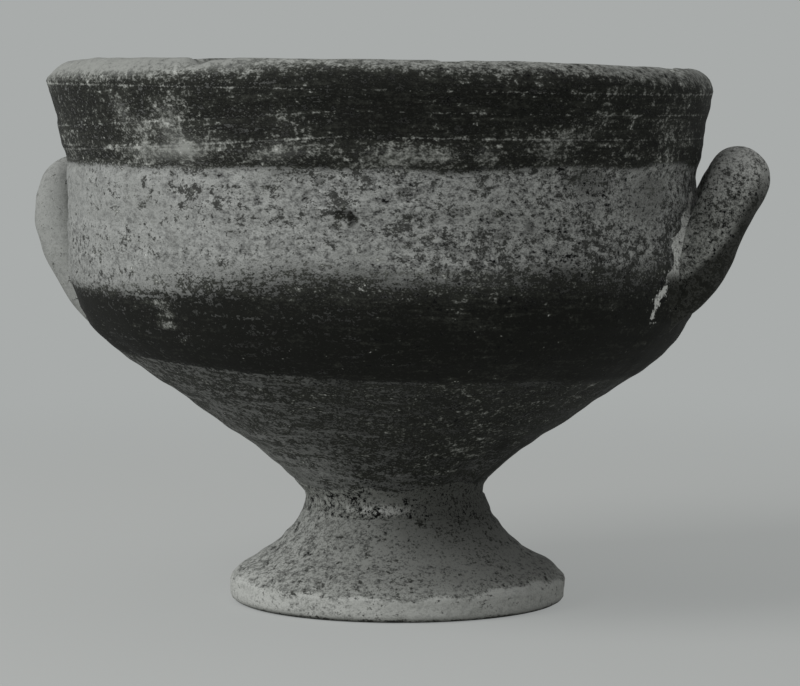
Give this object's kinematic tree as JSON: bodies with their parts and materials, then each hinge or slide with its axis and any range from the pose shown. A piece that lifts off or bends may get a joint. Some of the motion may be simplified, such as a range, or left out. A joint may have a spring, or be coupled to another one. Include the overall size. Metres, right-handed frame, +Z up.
{
  "type": "stemmed cup with two loop handles",
  "caption": "Fired clay drinking cup: deep bowl with an everted lip on a flaring hollow foot, with two horizontal loop handles tilted up against the wall.",
  "frame": {"origin": "on the surface that the foot rests on, under the middle of the cup's whole width; the foot's own middle lies 1.5 mm to +X of it", "axes": "+Z up; X through the two handles, with the right-hand handle of the pictured side on +X; the pictured side faces -Y"},
  "size_m": [0.1582, 0.1404, 0.1161],
  "materials": {
    "painted_clay": "fired clay with worn dark slip bands, matt",
    "bare_clay": "bare fired clay, gritty and matt",
    "handle_clay": "bare fired clay, hand smoothed, matt",
    "luting_clay": "wiped clay slurry, fired, matt"
  },
  "bodies": {
    "root": {"bowl": "painted_clay", "foot": "bare_clay", "stem_luting_ring": "luting_clay", "handle_right": "handle_clay", "handle_left": "handle_clay", "handle_right_front_luting": "luting_clay", "handle_right_back_luting": "luting_clay", "handle_left_front_luting": "luting_clay", "handle_left_back_luting": "luting_clay"}
  },
  "joints": []
}
